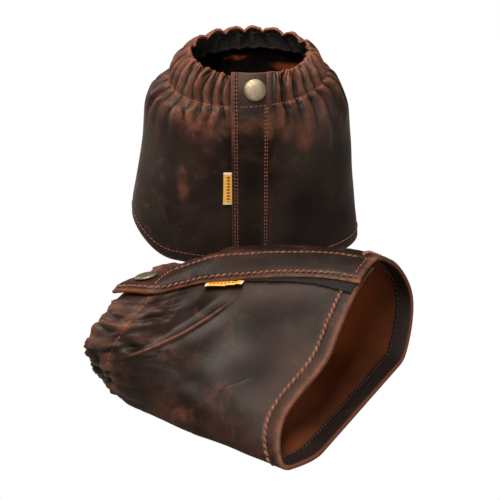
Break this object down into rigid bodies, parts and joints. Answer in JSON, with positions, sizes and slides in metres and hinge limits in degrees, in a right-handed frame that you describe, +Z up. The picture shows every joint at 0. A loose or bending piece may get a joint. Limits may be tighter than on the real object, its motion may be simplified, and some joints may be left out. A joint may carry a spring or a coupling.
{
  "type": "pair of leather gaiters",
  "caption": "Pair of short leather gaiters with gathered elastic tops and snap-and-tape side flaps, one standing on its hem and one lying on its side.",
  "frame": {"origin": "centre of the pair's bounding box, on the floor that both gaiters rest on", "axes": "+Z up, +Y from the lying gaiter towards the standing one, -Y towards the picture's camera, +X to the camera's right"},
  "size_m": [0.2079, 0.3522, 0.1458],
  "materials": {
    "leather": "waxed pull-up leather, dark brown with red-brown folds",
    "leather_turn": "turned hem, lighter along its fold",
    "elastic": "black woven elastic",
    "tape": "black hook and loop tape",
    "snap_metal": "antique brass, worn bright on its rim",
    "label_cloth": "plain yellow woven tag"
  },
  "bodies": {
    "root": {"standing_panel": "leather", "standing_hem_turn": "leather_turn", "standing_elastic": "elastic", "standing_hook_tape": "tape", "standing_loop_tape": "tape", "standing_snap_cap": "snap_metal", "standing_snap_socket": "snap_metal", "standing_snap_stud": "snap_metal", "standing_label": "label_cloth", "lying_panel": "leather", "lying_hem_turn": "leather_turn", "lying_elastic": "elastic", "lying_hook_tape": "tape", "lying_loop_tape": "tape", "lying_snap_cap": "snap_metal", "lying_snap_socket": "snap_metal", "lying_snap_stud": "snap_metal", "lying_label": "label_cloth"}
  },
  "joints": []
}
